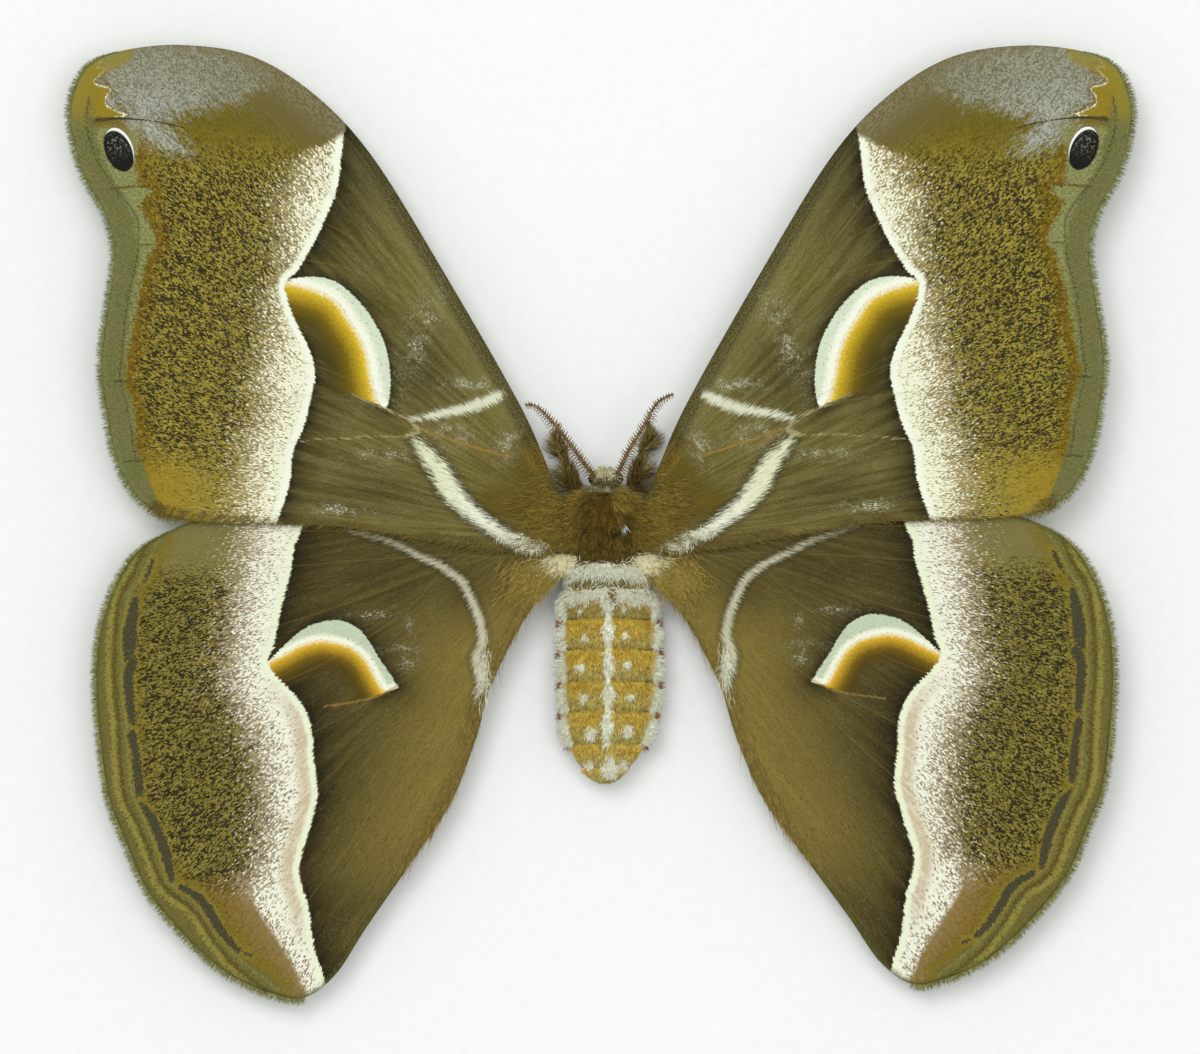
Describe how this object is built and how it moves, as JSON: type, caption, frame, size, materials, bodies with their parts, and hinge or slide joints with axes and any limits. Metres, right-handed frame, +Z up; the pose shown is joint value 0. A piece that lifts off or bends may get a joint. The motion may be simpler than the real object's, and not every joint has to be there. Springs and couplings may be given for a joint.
{
  "type": "ailanthus silkmoth",
  "caption": "Spread silkmoth with broad hook-tipped fore wings, rounded hind wings, a furry body with white tufts, short comb-like antennae and folded legs, resting on its underside.",
  "frame": {"origin": "on the flat underside of the thorax, below the middle of its back", "axes": "+X towards the moth's right wings, +Y towards the head, +Z up out of the back"},
  "size_m": [0.12, 0.108, 0.01],
  "materials": {
    "wing": "matt scales, velvety",
    "coat": "short dense hair",
    "abdomen": "short dense hair with white tufts",
    "eye": "glossy",
    "antenna": "satin",
    "leg": "short dense hair"
  },
  "bodies": {
    "root": {"abdomen": "abdomen", "thorax": "coat", "head": "coat", "eye_left": "eye", "eye_right": "eye", "antenna_left": "antenna", "antenna_right": "antenna", "palp_left": "coat", "palp_right": "coat", "forewing_left": "wing", "forewing_right": "wing", "hindwing_left": "wing", "hindwing_right": "wing", "leg_fore_left": "leg", "leg_fore_right": "leg", "leg_middle_left": "leg", "leg_middle_right": "leg", "leg_hind_left": "leg", "leg_hind_right": "leg"}
  },
  "joints": []
}
